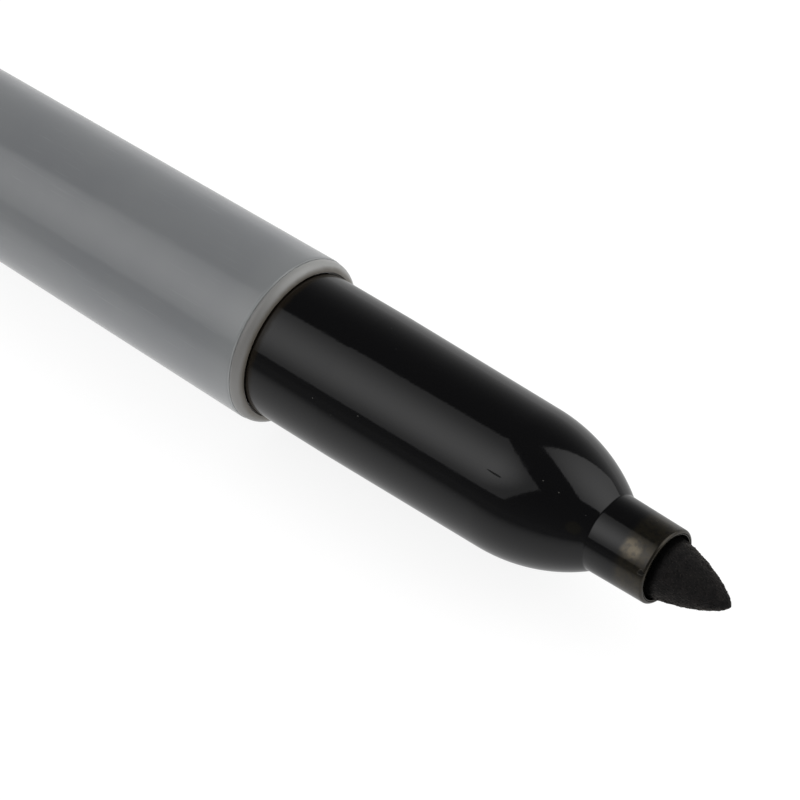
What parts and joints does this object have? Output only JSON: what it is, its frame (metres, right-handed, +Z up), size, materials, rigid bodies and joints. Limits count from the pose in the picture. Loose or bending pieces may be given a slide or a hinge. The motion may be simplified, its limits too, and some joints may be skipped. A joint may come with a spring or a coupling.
{
  "type": "permanent marker",
  "caption": "Fine-point permanent marker: tapered grey barrel, black front section with felt bullet nib, ink reservoir inside, and a clip cap posted on the tail.",
  "frame": {"origin": "on the marker's axis, in the plane of the barrel's mouth, where the closed cap's mouth comes to rest", "axes": "+X along the marker towards the nib, +Z up from the surface that the marker lies on"},
  "size_m": [0.1554, 0.014, 0.012],
  "materials": {
    "grey_barrel": "satin moulded polypropylene",
    "black_gloss": "polished moulded plastic",
    "felt_nib": "ink-soaked bonded felt",
    "ink_fibre": "ink-soaked polyester fibre",
    "clear_film": "thin plastic film",
    "liner_plastic": "soft natural polyethylene"
  },
  "bodies": {
    "marker": {"barrel": "grey_barrel", "front_section": "black_gloss", "nib": "felt_nib", "ink_reservoir": "ink_fibre", "reservoir_sleeve": "clear_film", "tail_plug": "black_gloss"},
    "cap": {"cap_shell": "black_gloss", "cap_liner": "liner_plastic"}
  },
  "joints": [
    {"name": "cap_pull", "type": "slide", "parent": "marker", "child": "cap", "axis": [-1, 0, 0], "range_m": [0, 0.03]}
  ]
}
